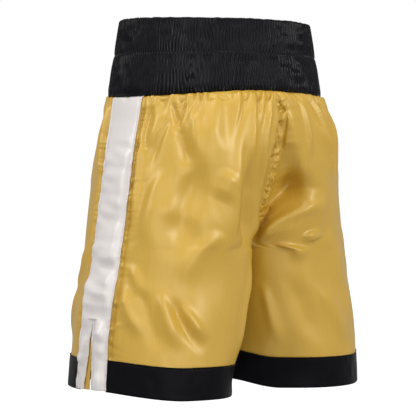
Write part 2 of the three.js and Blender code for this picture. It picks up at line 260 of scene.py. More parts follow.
def panel_surface(u, s, side, back):
    """A panel's smooth shape. u runs from the waistband (0) to the hem (1), s from the side seam (0)
    to the inner edge (1). Up to split a quarter ellipse, then a swell that becomes a wall. Last the
    right leg is lifted, the waist seam dips at the side, and the centre seam is set aside."""
    u, s = np.broadcast_arrays(np.asarray(u, float), np.asarray(s, float))
    rise_left = np.clip(1 - u / CROTCH_U, 0, 1) ** 1.5
    leg_done = np.clip((u - CROTCH_U) / (1 - CROTCH_U), 0, 1)
    inner_down = CROTCH * (1 - rise_left) + (HEM_INSEAM - CROTCH) * leg_done
    middle = (HEM_BACK if back else HEM_FRONT) - (HEM_SIDE + HEM_INSEAM) / 2
    sag = middle * smooth(s, 0, 0.4) * (1 - smooth(s, 0.78, 1)) * u
    down = mix(HEM_SIDE * u, inner_down, smooth(s, 0.3, 1)) + sag
    half, crest, depth, inner_x, inner_y, split, shift, _ = row_shape(down, back)
    turn = 0.5 * math.pi * np.clip(s / split, 0, 1)
    outer_x = crest + (half - crest) * np.cos(turn)
    outer_y = depth * np.sin(turn) + shift * (1 - np.clip(s / split, 0, 1)) ** 2
    q = np.clip((s - split) / np.maximum(1 - split, 1e-6), 0, 1)
    height = depth - inner_y
    firm = 1 - 0.36 * smooth((down - CROTCH) / (HEM_INSEAM - CROTCH), 0.6, 1)
    fold = firm * smooth(height, 0.010, 0.070)
    corner = 0.5 * math.pi * q
    wall_x, wall_y = 1 - np.sin(corner) ** 0.85, np.cos(corner) ** 0.85
    swell_y = 0.5 + 0.5 * np.cos(math.pi * q)
    in_x = inner_x + (crest - inner_x) * mix(1 - q, wall_x, fold)
    in_y = inner_y + height * mix(swell_y, wall_y, fold)
    x, y = np.where(s <= split, outer_x, in_x), np.where(s <= split, outer_y, in_y)
    lift = leg_done * (LEFT_LIFT if side > 0 else RIGHT_LIFT + RIGHT_SIDE_LIFT * (1 - s) ** 2)
    dip = SIDE_DIP * (x / half) ** 2 * (1 - u) ** 4
    aside = back * SEAM_ASIDE * smooth(s, 0.4, 1) * (1 - smooth(down, 0.03, 0.15))
    return np.stack([side * x + aside, facing(back) * y, WAIST - down + lift - dip], axis=-1)


for side, back in QUARTERS:
    hem_corner = panel_surface(1.0, 0.0, side, back)
    print(SIDES[side], NAMES[back], "side of the hem at", (1000 * hem_corner).round())


# %% [markdown]
# ## Places on the cloth, and which way is out
#
# Folds and stitches are placed as a maker places them: so far across from the side seam, and so far
# down from the waistband. The outward direction is the cross product of two small steps on the
# surface. At a seam both panels have to agree on it, or the seam would open: at the centre seam it
# has no sideways part, and at the inseam and the side seam no part to the front or back.

# %% Places and directions


def above_crotch(u):
    """1 where the inner edge is the centre seam, 0 where it is the inseam."""
    return smooth(CROTCH_U + 0.01 - u, 0, 0.02)


def unit(v):
    """The same direction, one long."""
    return v / np.maximum(np.linalg.norm(v, axis=-1, keepdims=True), 1e-12)


def cloth_place(u, s, back):
    """Metres down from the waistband, across from the side seam, and across to the inner edge."""
    u, s = np.broadcast_arrays(np.asarray(u, float), np.asarray(s, float))
    down = HEM_SIDE * u
    _, _, depth, _, _, split, _, whole = row_shape(down, back)
    turned = np.clip(s / split, 0, 1)
    across = mix(0.5 * math.pi * depth * turned, s * whole, smooth(turned, 0.15, 0.6))
    return down, across, whole - across


def outward(u, s, side, back):
    """A step down the cloth crossed with a step across it, made to agree at the seams."""
    step = 0.002
    downward = panel_surface(u + step, s, side, back) - panel_surface(u - step, s, side, back)
    crosswise = panel_surface(u, s + step, side, back) - panel_surface(u, s - step, side, back)
    out = unit(side * facing(back) * np.cross(downward, crosswise))
    u, s = np.broadcast_arrays(u, s)
    off_seam = smooth(1 - s, 0, 0.05)
    above = above_crotch(u)
    behind = mix(above, 1, off_seam) * smooth(s, 0, 0.03)
    return unit(out * np.stack([mix(1 - above, 1, off_seam), behind, 0 * s + 1], axis=-1))


def stripe_share(u, back, distance):
    """The share s that is a distance across from the side seam, where the stripe runs."""
    _, _, depth, _, _, split, _, _ = row_shape(HEM_SIDE * np.asarray(u, float), back)
    return split * distance / (0.5 * math.pi * depth)


# %% [markdown]
# ## The big folds
#
# Where a body pulls satin tight the cloth makes long soft ridges: from the waistband towards the
# fullest part of the seat, under the seat towards the thigh, and down the legs. These are listed
# for each panel, as lines of (across, down) in millimetres, each with its height and its width.
# One flank of a real fold is steeper than the other, so each fold has a second, narrower width.
# Between them are random drapes, broad and shallow.

# %% Folds listed for each panel
FOLD_HEIGHT = 0.0023
TALL_DRAPE, BROAD_DRAPE, CREASE = 0.0016, 0.0018, 0.0023
SIDE_SWING = 0.0035

SEAT_FOLDS = [
    # from across and down, to across and down, height, width, steep flank, bow
    (36, 8, 39, 175, 3.2, 8, 6, 2),
    (41, 8, 35, 78, -2.6, 4, 7, 1),
    (72, 30, 52, 100, -1.8, 7, 5, 3),
    (58, 12, 52, 70, 1.8, 9, 9, 0),
    (67, 4, 84, 44, -2.6, 4, 4, 0),
    (89, 6, 82, 44, -2.6, 4, 4, 0),
    (78, 38, 104, 96, -3.0, 8, 10, -3),
    (98, 20, 112, 78, 2.2, 8, 8, -3),
    (128, 20, 140, 120, 2.2, 26, 26, 0),
    (124, 84, 98, 206, -4.2, 16, 24, 6),
    (70, 104, 58, 196, 2.4, 9, 14, 5),
    (150, 176, 112, 238, 2.2, 12, 16, 6),
    (160, 92, 148, 128, 2.6, 13, 13, 0),
    (60, 150, 150, 175, 1.6, 16, 22, -8),
    (172, 56, 170, 205, 3.2, 15, 6, 2),
    (190, 70, 194, 200, -8.0, 8, 24, 2),
    (186, -12, 197, 92, 2.0, 5, 4, 4),
    (208, -10, 216, 104, 2.0, 4, 4, 3),
    (150, 5, 150, 62, -1.6, 10, 10, 0),
    (40, 254, 68, 308, 2.6, 9, 7, 4),
    (60, 250, 92, 330, -2.0, 10, 10, 0),
    (86, 252, 116, 322, 3.0, 9, 7, 2),
    (103, 262, 146, 326, -3.0, 7, 8, 2),
    (117, 270, 150, 312, 3.0, 8, 7, 2),
    (44, 225, 66, 262, 1.6, 8, 8, 0),
    (230, 215, 226, 330, 1.8, 9, 6, 4),
    (256, 225, 262, 335, 1.6, 7, 6, 0),
]
FAR_SEAT_FOLDS = [
    (190, -18, 204, 66, 2.4, 5, 4, 4),
    (168, -14, 160, 62, 2.4, 5, 6, 3),
    (150, -4, 136, 112, -3.2, 7, 5, 4),
    (240, 56, 214, 150, -4.6, 22, 22, 0),
    (128, 8, 112, 120, 2.6, 12, 12, 0),
    (256, 158, 192, 100, -7.5, 25, 10, 22),
    (246, 184, 178, 124, 4.2, 9, 14, 20),
    (190, 168, 178, 186, 3.0, 9, 9, 0),
    (226, 186, 208, 214, 3.2, 11, 9, 0),
    (262, 172, 262, 196, 3.0, 6, 8, 0),
    (236, 96, 198, 108, -4.0, 16, 18, 0),
    (176, 30, 150, 96, 2.6, 7, 9, 3),
    (226, 240, 196, 330, -2.4, 18, 12, 0),
    (186, 250, 150, 330, 2.2, 16, 10, 0),
    (150, 180, 120, 320, 2.0, 20, 24, 0),
    (120, 60, 96, 250, -2.4, 14, 16, 0),
    (262, 250, 250, 330, 1.6, 8, 8, 0),
    (60, 150, 90, 260, 1.6, 18, 14, 8),
]
FRONT_FOLDS = [
    (40, 6, 36, 120, 2.4, 10, 7, 2),
    (78, 6, 60, 90, -2.4, 8, 6, 3),
    (98, -20, 108, 80, -2.6, 26, 26, 0),
    (140, 8, 156, 130, 2.0, 12, 10, 4),
    (182, 8, 178, 150, 2.4, 12, 8, 0),
    (206, 20, 204, 110, -1.6, 8, 8, 0),
    (236, 150, 170, 112, 3.4, 9, 14, 16),
    (244, 172, 166, 150, 2.6, 11, 14, 14),
    (250, 180, 190, 230, 2.2, 10, 12, 8),
    (46, 200, 90, 262, 2.2, 12, 9, 5),
    (60, 250, 120, 330, 2.2, 14, 9, 5),
    (130, 240, 176, 330, -1.8, 16, 10, 4),
    (210, 230, 222, 330, 2.0, 12, 8, 0),
    (258, 220, 260, 335, 1.5, 8, 6, 0),
]
FAR_FRONT_FOLDS = [(a + 4, b + 6, c - 4, d + 3, *shape) for a, b, c, d, *shape in FRONT_FOLDS]
PANEL_FOLDS = dict(zip(QUARTERS, (SEAT_FOLDS, FRONT_FOLDS, FAR_SEAT_FOLDS, FAR_FRONT_FOLDS)))


def fold(across, down, x0, y0, x1, y1, height, width, steep, bow):
    """A ridge (or, with a minus height, a valley) along a bowed line. Distance from the line is
    measured square to it, and the height dies away as a bell, narrower on the steep flank. Along
    the line it swells from one end and runs out at the other."""
    length = math.hypot(x1 - x0, y1 - y0)
    way_x, way_y = (x1 - x0) / length, (y1 - y0) / length
    from_x, from_y = 1000 * across - x0, 1000 * down - y0
    along = (from_x * way_x + from_y * way_y) / length
    off = from_y * way_x - from_x * way_y - 4 * bow * along * (1 - along)
    wide = np.where(off > 0, width, steep) * (0.75 + 0.35 * np.clip(along, 0, 1))
    ends = smooth(along, -0.12, 0.30) * (1 - smooth(along, 0.62, 1.12))
    return FOLD_HEIGHT * height * ends * np.exp(-((off / wide) ** 2))


def body_push(u, s, side, back):
    """The folds and drapes that every layer on a panel shares, in metres outwards. They fade at the
    seams, and each side seam swings a little at the hem, the same on both its panels."""
    down, across, to_inner = cloth_place(u, s, back)
    seed = seed_of(side, back, 100, 40)
    total = sum(fold(across, down, *one) for one in PANEL_FOLDS[side, back])
    tall = wander2(across, down + 0.35 * across, 0.034, 0.105, seed)
    broad = wander2(across + 0.3 * down, down, 0.075, 0.06, seed + 1)
    crease = crumple(across, down - 0.5 * across, 0.050, 0.075, seed + 2)
    total = total + TALL_DRAPE * tall + BROAD_DRAPE * broad - CREASE * crease
    to_hem = HEM_SIDE - HEM_BAND - down
    total = total * smooth(across, STRIPE_HALF, STRIPE_HALF + 0.012) * smooth(to_inner, 0.0, 0.016)
    total = total * smooth(down, 0.0, 0.02) * mix(0.3, 1, smooth(to_hem, -0.012, 0.035))
    swing = SIDE_SWING * wander(down, 0.045, 40 + side) * smooth(down, 0.16, 0.34)
    return total + swing * (1 - smooth(across, 0.02, 0.075))


# %% [markdown]
# ## The gathered top edge
#
# The panels are wider than the waistband they hang from, so their top edge is pleated up into
# small uneven gathers. Above the seam the satin rolls out past the band's face, and each gather
# stands up as a little scallop. A sine whose phase wanders gives gathers of uneven width, and
# its size without its sign gives round crests with sharp pinches between them.

# %% Gathers and puckers
WIDE_STEP, NARROW_STEP = 0.0225, 0.0074
WIDE_DEPTH, NARROW_DEPTH = 0.0062, 0.0025
EDGE_SWELL = 0.0036
SCALLOP, EDGE_DROP = 0.0085, 0.0044


def gather_waves(side, back, across, down):
    """Crest heights, 0 to 1, of the wide gathers and of the narrow ones between them."""
    seed = seed_of(side, back, 500, 20)
    lean = 0.30 * down * wander(across, 0.045, seed + 1)
    at = across + lean
    wide = np.abs(np.sin(math.pi * (at / WIDE_STEP + 0.9 * wander(at, 0.031, seed + 2))))
    at = across + 0.5 * lean
    narrow = np.abs(np.sin(math.pi * (at / NARROW_STEP + 0.7 * wander(at, 0.012, seed + 3))))
    return (wide**2 + 0.006) ** 0.4, (narrow**2 + 0.01) ** 0.45


def top_gathers(side, back, across, down):
    """The gathers in metres: each kind of crest times its own depth, dying away over its own reach."""
    seed = seed_of(side, back, 500, 20)
    wide, narrow = gather_waves(side, back, across, down)
    reach = 0.027 + 0.019 * wander(across, 0.021, seed + 4)
    depth = WIDE_DEPTH * (1 + 0.6 * wander(across, 0.017, seed + 5))
    short = 0.009 + 0.006 * wander(across, 0.009, seed + 6)
    wide = depth * (wide - 0.92) * np.exp(-((down / reach) ** 1.4))
    narrow = NARROW_DEPTH * (narrow - 0.9) * np.exp(-down / short)
    return smooth(down, 0.001, 0.006) * (wide + narrow)


def roll_over(points, out, down, crest):
    """The top edge goes out past the band's face over 4 mm, and up where the gathers crest. Lower
    down, the swell dies away."""
    level = unit(out * np.array([1, 1, 0]))
    swell = EDGE_SWELL * smooth(down, 0, 0.004) * (1 - 0.95 * smooth(down, 0.004, 0.040))
    rise = (SCALLOP * crest - EDGE_DROP) * bell(down - 0.0045, 0.0032)
    return points + level * swell[..., None] + np.array([0, 0, 1]) * rise[..., None]


def puckers(along, away, step, depth, reach, seed):
    """Short creases that a row of stitches pulls into the cloth: uneven along the row, deepest at
    it, gone within reach of it, and leaning as they leave it."""
    lean = 0.6 * away * wander(along, 3 * step, seed + 1)
    ridge = wander(along + lean, step, seed) + 0.4 * wander(along, 0.45 * step, seed + 2)
    return depth * ridge * np.exp(-away / reach)


def dressed(u, s, side, back):
    """The cloth with its shared folds: points, outward directions, and places on the cloth."""
    points, out = panel_surface(u, s, side, back), outward(u, s, side, back)
    down, across, to_inner = cloth_place(u, s, back)
    wide, narrow = gather_waves(side, back, across, down)
    plain = smooth(across, STRIPE_HALF, STRIPE_HALF + 0.006)
    crest = mix(0.45 + 0.25 * wander(across, 0.009, 77 + side), 0.75 * wide + 0.25 * narrow, plain)
    points = roll_over(points, out, down, crest) + out * body_push(u, s, side, back)[..., None]
    return points, out, down, across, to_inner


# %% [markdown]
# ## From a grid to a mesh
#
# Stitching puckers the satin every few millimetres, but the middle of a panel is calm. A grid whose
# lines crowd together at the waistband and the seams spends its points where the detail is. Each
# grid cell becomes one quad, and the UV map holds metres of cloth, so a weave keeps its true size.

# %% Grids and meshes


def uneven(count, density, low=0.0, high=1.0):
    """count numbers from low to high, packed closer where density(x) is larger."""
    x = np.linspace(0, 1, 2001)
    total = np.cumsum(density(x))
    total = (total - total[0]) / (total[-1] - total[0])
    return low + (high - low) * np.interp(np.linspace(0, 1, count), total, x)


def as_piece(name, mesh, uv):
    """Gives a mesh its UV map, one place for each corner of a face, and makes it smooth."""
    layer = mesh.uv_layers.new(name="cloth")
    layer.data.foreach_set("uv", uv.reshape(-1).astype(np.float32))
    mesh.polygons.foreach_set("use_smooth", np.ones(len(mesh.polygons), dtype=bool))
    mesh.update(calc_edges=True)
    return put(name, mesh)


def sheet_mesh(name, points, uv, turn, ring=False, closed=False):
    """One quad per grid cell, facing out, with uv in metres. ring joins the last column to the
    first, and closed joins the last row to the first."""
    rows, columns = points.shape[:2]
    number = np.arange(rows * columns).reshape(rows, columns)
    top, low = (number, np.roll(number, -1, axis=0)) if closed else (number[:-1], number[1:])
    if ring:
        top, low = np.c_[top, top[:, 0]], np.c_[low, low[:, 0]]
    quads = np.stack([top[:, :-1], low[:, :-1], low[:, 1:], top[:, 1:]], axis=-1)
    corners = quads.reshape(-1, 4)[:, :: (1 if turn > 0 else -1)].reshape(-1).astype(np.int32)
    mesh = bpy.data.meshes.new(name)
    mesh.vertices.add(rows * columns)
    mesh.vertices.foreach_set("co", points.reshape(-1).astype(np.float32))
    mesh.loops.add(corners.size)
    mesh.loops.foreach_set("vertex_index", corners)
    mesh.polygons.add(corners.size // 4)
    mesh.polygons.foreach_set("loop_start", np.arange(0, corners.size, 4, dtype=np.int32))
    return as_piece(name, mesh, uv.reshape(-1, 2)[corners])


def thicken(thing, thickness):
    """Solidify gives the sheet its thickness on the inside, so the outside stays where it is."""
    solid = thing.modifiers.new("thickness", "SOLIDIFY")
    solid.thickness = thickness
    solid.offset = -1
    return thing


# %% [markdown]
# ## Satin
#
# Satin is woven so that long threads lie on top of it. Light slides along them, so it has a broad
# soft shine, and close up it shows fine lines along the warp. The pattern reads the piece's own UV
# map, so the lines run down every panel as they do on the roll. Three noises do it: hair-fine
# threads for the bump, streaks for the colour, and clouds for the gloss. The gold's highlights are
# warm, and those of the other cloths are plain.

# %% Satin


def satin(name, colour, deep, roughness, shine, glint, thread_depth):
    """Threads: noise squeezed 40 to 1 along the cloth. Colour: deep to colour by a streaky noise."""
    material = bpy.data.materials.new(name)
    material.use_nodes = True
    tree = material.node_tree
    shader = tree.nodes["Principled BSDF"]
    shader.inputs["Specular IOR Level"].default_value = shine
    shader.inputs["Specular Tint"].default_value = (*glint, 1)
    place = tree.nodes.new("ShaderNodeUVMap")
    place.uv_map = "cloth"

    def noise(across, down, detail):
        stretch = tree.nodes.new("ShaderNodeMapping")
        stretch.inputs["Scale"].default_value = (across, down, 1)
        tree.links.new(place.outputs["UV"], stretch.inputs["Vector"])
        node = tree.nodes.new("ShaderNodeTexNoise")
        node.inputs["Scale"].default_value = 1
        node.inputs["Detail"].default_value = detail
        tree.links.new(stretch.outputs["Vector"], node.inputs["Vector"])
        return node.outputs["Fac"]

    def spread(value, low, high, to_low, to_high, socket):
        node = tree.nodes.new("ShaderNodeMapRange")
        ends = {"From Min": low, "From Max": high, "To Min": to_low, "To Max": to_high}
        for title, number in ends.items():
            node.inputs[title].default_value = number
        tree.links.new(value, node.inputs["Value"])
        tree.links.new(node.outputs["Result"], socket)

    tint = tree.nodes.new("ShaderNodeMix")
    tint.data_type = "RGBA"
    tint.inputs["A"].default_value = (*deep, 1)
    tint.inputs["B"].default_value = (*colour, 1)
    spread(noise(900, 24, 3), 0.3, 0.7, 0, 1, tint.inputs["Factor"])
    tree.links.new(tint.outputs["Result"], shader.inputs["Base Color"])
    spread(noise(28, 22, 2), 0.3, 0.7, roughness - 0.03, roughness + 0.05, shader.inputs["Roughness"])
    bump = tree.nodes.new("ShaderNodeBump")
    bump.inputs["Strength"].default_value = 0.6
    bump.inputs["Distance"].default_value = thread_depth
    tree.links.new(noise(3200, 80, 2), bump.inputs["Height"])
    tree.links.new(bump.outputs["Normal"], shader.inputs["Normal"])
    return material


WARM, PLAIN = (0.94, 0.93, 0.72), (1.0, 1.0, 1.0)
CLOTHS = {
    # name: colour, deeper colour, roughness, shine, colour of the highlights, depth of the threads
    "gold_satin": ((0.565, 0.338, 0.036), (0.53, 0.310, 0.031), 0.41, 1.0, WARM, 0.00003),
    "white_satin": ((0.71, 0.665, 0.640), (0.68, 0.638, 0.615), 0.36, 0.8, PLAIN, 0.00003),
    "black_satin": ((0.0042, 0.0037, 0.0049), (0.0032, 0.0027, 0.0037), 0.40, 0.06, PLAIN, 0.00003),
    "shirred_satin": ((0.003, 0.0026, 0.0042), (0.0022, 0.0019, 0.0032), 0.29, 0.11, PLAIN, 0.00003),
    "elastic_web": ((0.035, 0.034, 0.036), (0.022, 0.021, 0.023), 0.8, 0.3, PLAIN, 0.0001),
    "gold_thread": ((0.57, 0.32, 0.04), (0.48, 0.26, 0.03), 0.5, 0.4, WARM, 0.00002),
    "white_thread": ((0.80, 0.76, 0.74), (0.72, 0.69, 0.67), 0.5, 0.4, PLAIN, 0.00002),
    "black_thread": ((0.014, 0.013, 0.015), (0.009, 0.0085, 0.01), 0.5, 0.2, PLAIN, 0.00002),
}
cloths = {name: satin(name, *look) for name, look in CLOTHS.items()}


def finish_piece(thing, cloth, slot, *nodes):
    """Dresses a piece, lets it ride on the body, and hides the frame nodes that it stands for."""
    thing.data.materials.append(cloths[cloth])
    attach(thing, "root")
    if nodes:
        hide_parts(*nodes)
    return thing


# %% [markdown]
# ## Gold panels
#
# Each panel is the dressed surface plus everything that its own stitching does to it: the gathers
# at the top, puckers beside the stripe and above the hem band, and the ruched strip each side of
# the centre seam, where two rows of tight stitches draw the satin up into tiny ridges.

# %% Gold panels
PANEL_ROWS, PANEL_COLUMNS = 336, 140
SATIN_THICK = 0.0004
SEAM_STRIP, SEAM_STEP, SEAM_RIDGE = 0.0135, 0.0042, 0.0030
PUCKER_STEP, PUCKER_DEPTH, PUCKER_REACH = 0.0068, 0.0034, 0.0075
STITCHED_DIP = 0.0022
SEAM_SEEDS = {True: 900, False: 950}


def opened(u, metres, power):
    """How far an edge stands back from the side seam: nothing above the slit, metres at the hem."""
    return metres * np.clip((u - SLIT_TOP_U) / (1 - SLIT_TOP_U), 0, 1) ** power


def seam_ruche(down, to_inner, above, seed):
    """The centre seam: a groove at the seam, ridges every 4 to 6 mm across the strip beside it, a
    stitched groove at the strip's edge, and puckers that run on past it."""
    strip = (1 - smooth(to_inner, SEAM_STRIP - 0.002, SEAM_STRIP)) * above * smooth(down, 0.004, 0.012)
    ridges = SEAM_RIDGE * wander(down + 0.3 * to_inner, SEAM_STEP, seed)
    ridges = ridges + SEAM_RIDGE * wander2(down, to_inner, SEAM_STEP, 0.0046, seed + 1) + 0.0012
    grooves = 0.0012 * bell(to_inner, 0.0018) + 0.0020 * bell(to_inner - SEAM_STRIP, 0.0014)
    past = to_inner - SEAM_STRIP
    beyond = puckers(down, np.maximum(past, 0), 0.009, 0.0022, 0.012, seed + 2) * smooth(past, 0, 0.003)
    return strip * ridges + above * smooth(down, 0.004, 0.02) * (beyond - grooves)


def gold_panel(side, back):
    """One panel, from the side seam or the slit's edge to the centre seam and the inseam."""
    name = f"{NAMES[back]}_{SIDES[side]}_panel"
    seed = seed_of(side, back, 200, 30)

    def dense(x):
        return 0.8 + 2.4 * bell(x, 0.07) + 1.0 * (x < 0.5) + 0.3 * bell(1 - x, 0.15)

    u = uneven(PANEL_ROWS, dense)[:, None]
    spread = uneven(PANEL_COLUMNS, lambda x: 1 + 1.2 * bell(x - 0.12, 0.07) + 1.6 * bell(1 - x, 0.09))
    edge = stripe_share(u, back, 0.0002 + opened(u, VENT_HALF, 1))
    s = edge + (1 - edge) * spread
    points, out, down, across, to_inner = dressed(u, s, side, back)
    past_stripe = across - STRIPE_HALF
    to_hem = HEM_SIDE - HEM_BAND - down
    above = above_crotch(u)
    free = smooth(past_stripe, -0.001, 0.010) * mix(1, smooth(to_inner, 0.010, 0.018), above)
    push = top_gathers(side, back, across, down) * free
    stitched = smooth(past_stripe, -0.002, 0.002) * smooth(down, 0.004, 0.02)
    stitched = stitched * smooth(to_hem, -0.004, 0.004)
    pull = 0.55 + 0.6 * wander(down, 0.031, seed + 1)
    away = np.maximum(past_stripe, 0)
    push = push + pull * puckers(down, away, PUCKER_STEP, PUCKER_DEPTH, PUCKER_REACH, seed) * stitched
    push = push - STITCHED_DIP * bell(past_stripe - 0.002, 0.0050) * stitched
    hemmed = free * smooth(to_hem, -0.002, 0.002)
    push = push + puckers(across, np.maximum(to_hem, 0), 0.012, 0.0007, 0.009, seed + 4) * hemmed
    push = push + seam_ruche(down, to_inner, above, SEAM_SEEDS[back])
    points = points + out * push[..., None]
    uv = np.stack([across, down], axis=-1)
    thing = thicken(sheet_mesh(name + "_satin", points, uv, side * facing(back)), SATIN_THICK)
    finish_piece(thing, "gold_satin", "gold_satin", name)
    print(name, "pushed from", (1000 * push.min()).round(1), "to", (1000 * push.max()).round(1), "mm")
    return thing


panels = {(side, back): gold_panel(side, back) for side, back in QUARTERS}

# %% [markdown]
# ## Side stripes
#
# A white strip of satin, 54 mm wide, is laid over each side seam and stitched down along both edges.
# The slit splits its lower end. Its grid is two halves, in front of the side seam and behind it,
# whose middle columns are one above the slit and part below it, so they are welded where they meet.

# %% Side stripes
STRIPE_ROWS, STRIPE_COLUMNS = 360, 17
STITCH_INSET = 0.0026
STRIPE_THICK, STRIPE_OFF = 0.0006, 0.0014
STRIPE_WAVE = 0.0031
WELD = 0.000004


def stripe_lift(side, down, along, edge):
    """How far the white satin stands off the gold: its doubled edges, waves across it that grow
    towards the hem, and the groove of the stitching inside each edge."""
    seed = 300 + side * 17
    waves = wander2(along + 0.35 * down, down, 0.034, 0.021, seed)
    waves = waves + 0.7 * wander2(along - 0.6 * down, down, 0.025, 0.012, seed + 1)
    calm = smooth(down, 0.03, 0.10)
    size = STRIPE_WAVE * calm * mix(0.95, 1.5, smooth(down, 0.13, 0.28))
    above = 0.9 + waves
    lift = STRIPE_OFF + 0.5 * size * (above + np.sqrt(above**2 + 0.3)) * smooth(edge, 0.0015, 0.010)
    lift = lift + puckers(down, edge, 0.0085, 0.0007, 0.006, seed + 3) * calm
    groove = 0.0007 * bell(edge - STITCH_INSET, 0.0009) * smooth(down, 0.004, 0.01)
    return lift + 0.0005 * bell(edge, 0.0018) - groove


def slit_edge(u, ahead):
    """The slit edge of a stripe's half. The front tail hangs free and swings forward."""
    return opened(u, SLIT_FRONT, 1.4) if ahead else opened(u, SLIT_BACK, 1.0)


def outer_edge(u, ahead):
    """The stitched edge of a stripe's half."""
    return STRIPE_HALF + (opened(u, TAIL_SWING, 2) if ahead else 0 * u)


def stripe_place(side, u, distance, ahead):
    """Points on one half of a stripe at a distance from the side seam, their outward directions,
    and how far down they are."""
    u, distance = np.broadcast_arrays(u, distance)
    points, out, *_ = dressed(u, stripe_share(u, not ahead, distance), side, not ahead)
    down = HEM_SIDE * u
    from_slit = np.where(u > SLIT_TOP_U, distance - slit_edge(u, ahead), 1)
    edge = np.minimum(outer_edge(u, ahead) - distance, np.maximum(from_slit, 0))
    along = -distance if ahead else distance
    return points + out * stripe_lift(side, down, along, edge)[..., None], out, down


def side_stripe(side):
    """Both halves of a stripe, welded along the middle above the slit, then given thickness."""
    name = f"{SIDES[side]}_side_stripe"
    u = uneven(STRIPE_ROWS, lambda x: 1 + 2 * bell(x, 0.04) + 0.8 * bell(x - SLIT_TOP_U, 0.03))[:, None]
    spread = uneven(STRIPE_COLUMNS, lambda x: 1 + 1.4 * bell(1 - x, 0.15) + 0.8 * bell(x, 0.15))
    halves = []
    for ahead in (True, False):
        distance = mix(slit_edge(u, ahead), outer_edge(u, ahead), spread)
        points, _, down = stripe_place(side, u, distance, ahead)
        uv = np.stack([STRIPE_HALF + (-distance if ahead else distance), 0 * distance + down], axis=-1)
        halves.append(sheet_mesh(name + "_satin", points, uv, side * (-1 if ahead else 1)))
    with bpy.context.temp_override(active_object=halves[0], selected_editable_objects=halves):
        bpy.ops.object.join()
    welded = bmesh.new()
    welded.from_mesh(halves[0].data)
    bmesh.ops.remove_doubles(welded, verts=welded.verts, dist=WELD)
    welded.to_mesh(halves[0].data)
    welded.free()
    return finish_piece(thicken(halves[0], STRIPE_THICK), "white_satin", "white_satin", name)


stripes = {side: side_stripe(side) for side in (1, -1)}

# %% [markdown]
# ## Hem bands
#
# A black band 40 mm high is folded over the hem of each panel, from the stripe to the inseam. Its
# rows go down the outside, round the edge in a half circle, and a little way up the inside.

# %% Hem bands
BAND_ROWS, HEM_COLUMNS = 30, 150
BAND_LIFT = 0.0010
HEM_TURN_IN, HEM_ROUND, HEM_STITCH = 0.012, 0.0012, 0.0022
ARC_ROWS, INSIDE_ROWS = 8, 6


def hem_band(side, back):
    """One band: the dressed surface again, lifted off the gold, with its edge row and its ripples."""
    name = f"hem_band_{NAMES[back]}_{SIDES[side]}"
    seed = seed_of(side, back, 600, 30)
    top = 1 - HEM_BAND / HEM_SIDE
    face_u = uneven(BAND_ROWS, lambda x: 1 + 1.2 * bell(x, 0.12) + bell(1 - x, 0.1), top, 1.0)
    arc = np.linspace(0, math.pi, ARC_ROWS + 1)[1:]
    inside_u = np.linspace(1, 1 - HEM_TURN_IN / HEM_SIDE, INSIDE_ROWS + 1)[1:]
    u = np.concatenate([face_u, np.ones(ARC_ROWS), inside_u])[:, None]
    inside = np.full(INSIDE_ROWS, -BAND_LIFT - 0.0006)
    lift = np.concatenate([np.full(BAND_ROWS, BAND_LIFT), BAND_LIFT * np.cos(arc) - 0.0004, inside])
    drop = np.concatenate([np.zeros(BAND_ROWS), HEM_ROUND * np.sin(arc), np.zeros(INSIDE_ROWS)])
    edge = stripe_share(u, back, STRIPE_HALF - 0.0015)
    s = edge + (1 - edge) * uneven(HEM_COLUMNS, lambda x: 1 + bell(1 - x, 0.06))
    points, out, down, across, _ = dressed(u, s, side, back)
    below = HEM_SIDE - down
    from_top = HEM_BAND - below
    edge_row = 0.0004 * bell(from_top, 0.0016) - 0.0005 * bell(from_top - HEM_STITCH, 0.0009)
    ripple = 0.00035 * wander2(across, down, 0.011, 0.016, seed) * smooth(from_top, 0, 0.004)
    away = np.maximum(from_top - HEM_STITCH, 0)
    ripple = ripple + puckers(across, away, 0.007, 0.00025, 0.006, seed + 3)
    on_face = np.concatenate([np.ones(BAND_ROWS), np.zeros(ARC_ROWS + INSIDE_ROWS)])[:, None]
    push = lift[:, None] + on_face * (edge_row + ripple * smooth(below, 0, 0.004))
    points = points + out * push[..., None] - np.array([0, 0, 1]) * drop[:, None, None]
    uv = np.stack([across, down + drop[:, None] + 0.01 * (1 - on_face)], axis=-1)
    thing = sheet_mesh(name + "_satin", points, uv, side * facing(back))
    return finish_piece(thicken(thing, SATIN_THICK), "black_satin", "black_satin", name)


hem_bands = {(side, back): hem_band(side, back) for side, back in QUARTERS}

# %% [markdown]
# ## The shirred waistband
#
# The black cover is sewn flat to stretched elastic. When the elastic draws in, the satin crumples
# into hundreds of thin upright ridges that waver and lean. The cover is one closed ring: down its
# outer face, under, up the channel that holds the elastic, down again and up its inner face. Only
# the two faces that show have ridges. A row of stitches round the middle makes two tiers of it.

# %% Waistband cover
BAND_TOP_AXES = (0.139, 0.104)
BAND_LOW_AXES = (0.157, 0.118)
COVER_OUT = 0.0034
TIER = 0.48
RIDGES = 186
RIDGE_DEPTH = 0.0020
BAND_COLUMNS = 1284
BAND_ROUND = 0.85
LOWER_TIER_SHIFT = 37
COVER_ROW = 0.0025
CHANNEL = 0.0021
FACE_OUT = COVER_OUT - 0.0004


def band_ring(level, out, turn):
    """A point round the waist: an ellipse at a level (0 top, 1 bottom), moved out square to it."""
    pinch = 0.0008 * bell(level - TIER, 0.10)
    half_x = mix(BAND_TOP_AXES[0], BAND_LOW_AXES[0], level) - pinch
    half_y = mix(BAND_TOP_AXES[1], BAND_LOW_AXES[1], level) - pinch
    normal = unit(np.stack([np.cos(turn) / half_x, np.sin(turn) / half_y, 0 * turn], axis=-1))
    drop = BAND_HEIGHT * level + SIDE_DIP * level**2 * np.cos(turn) ** 2
    place = np.stack([half_x * np.cos(turn), half_y * np.sin(turn), -drop], axis=-1)
    return place + normal * out[..., None]


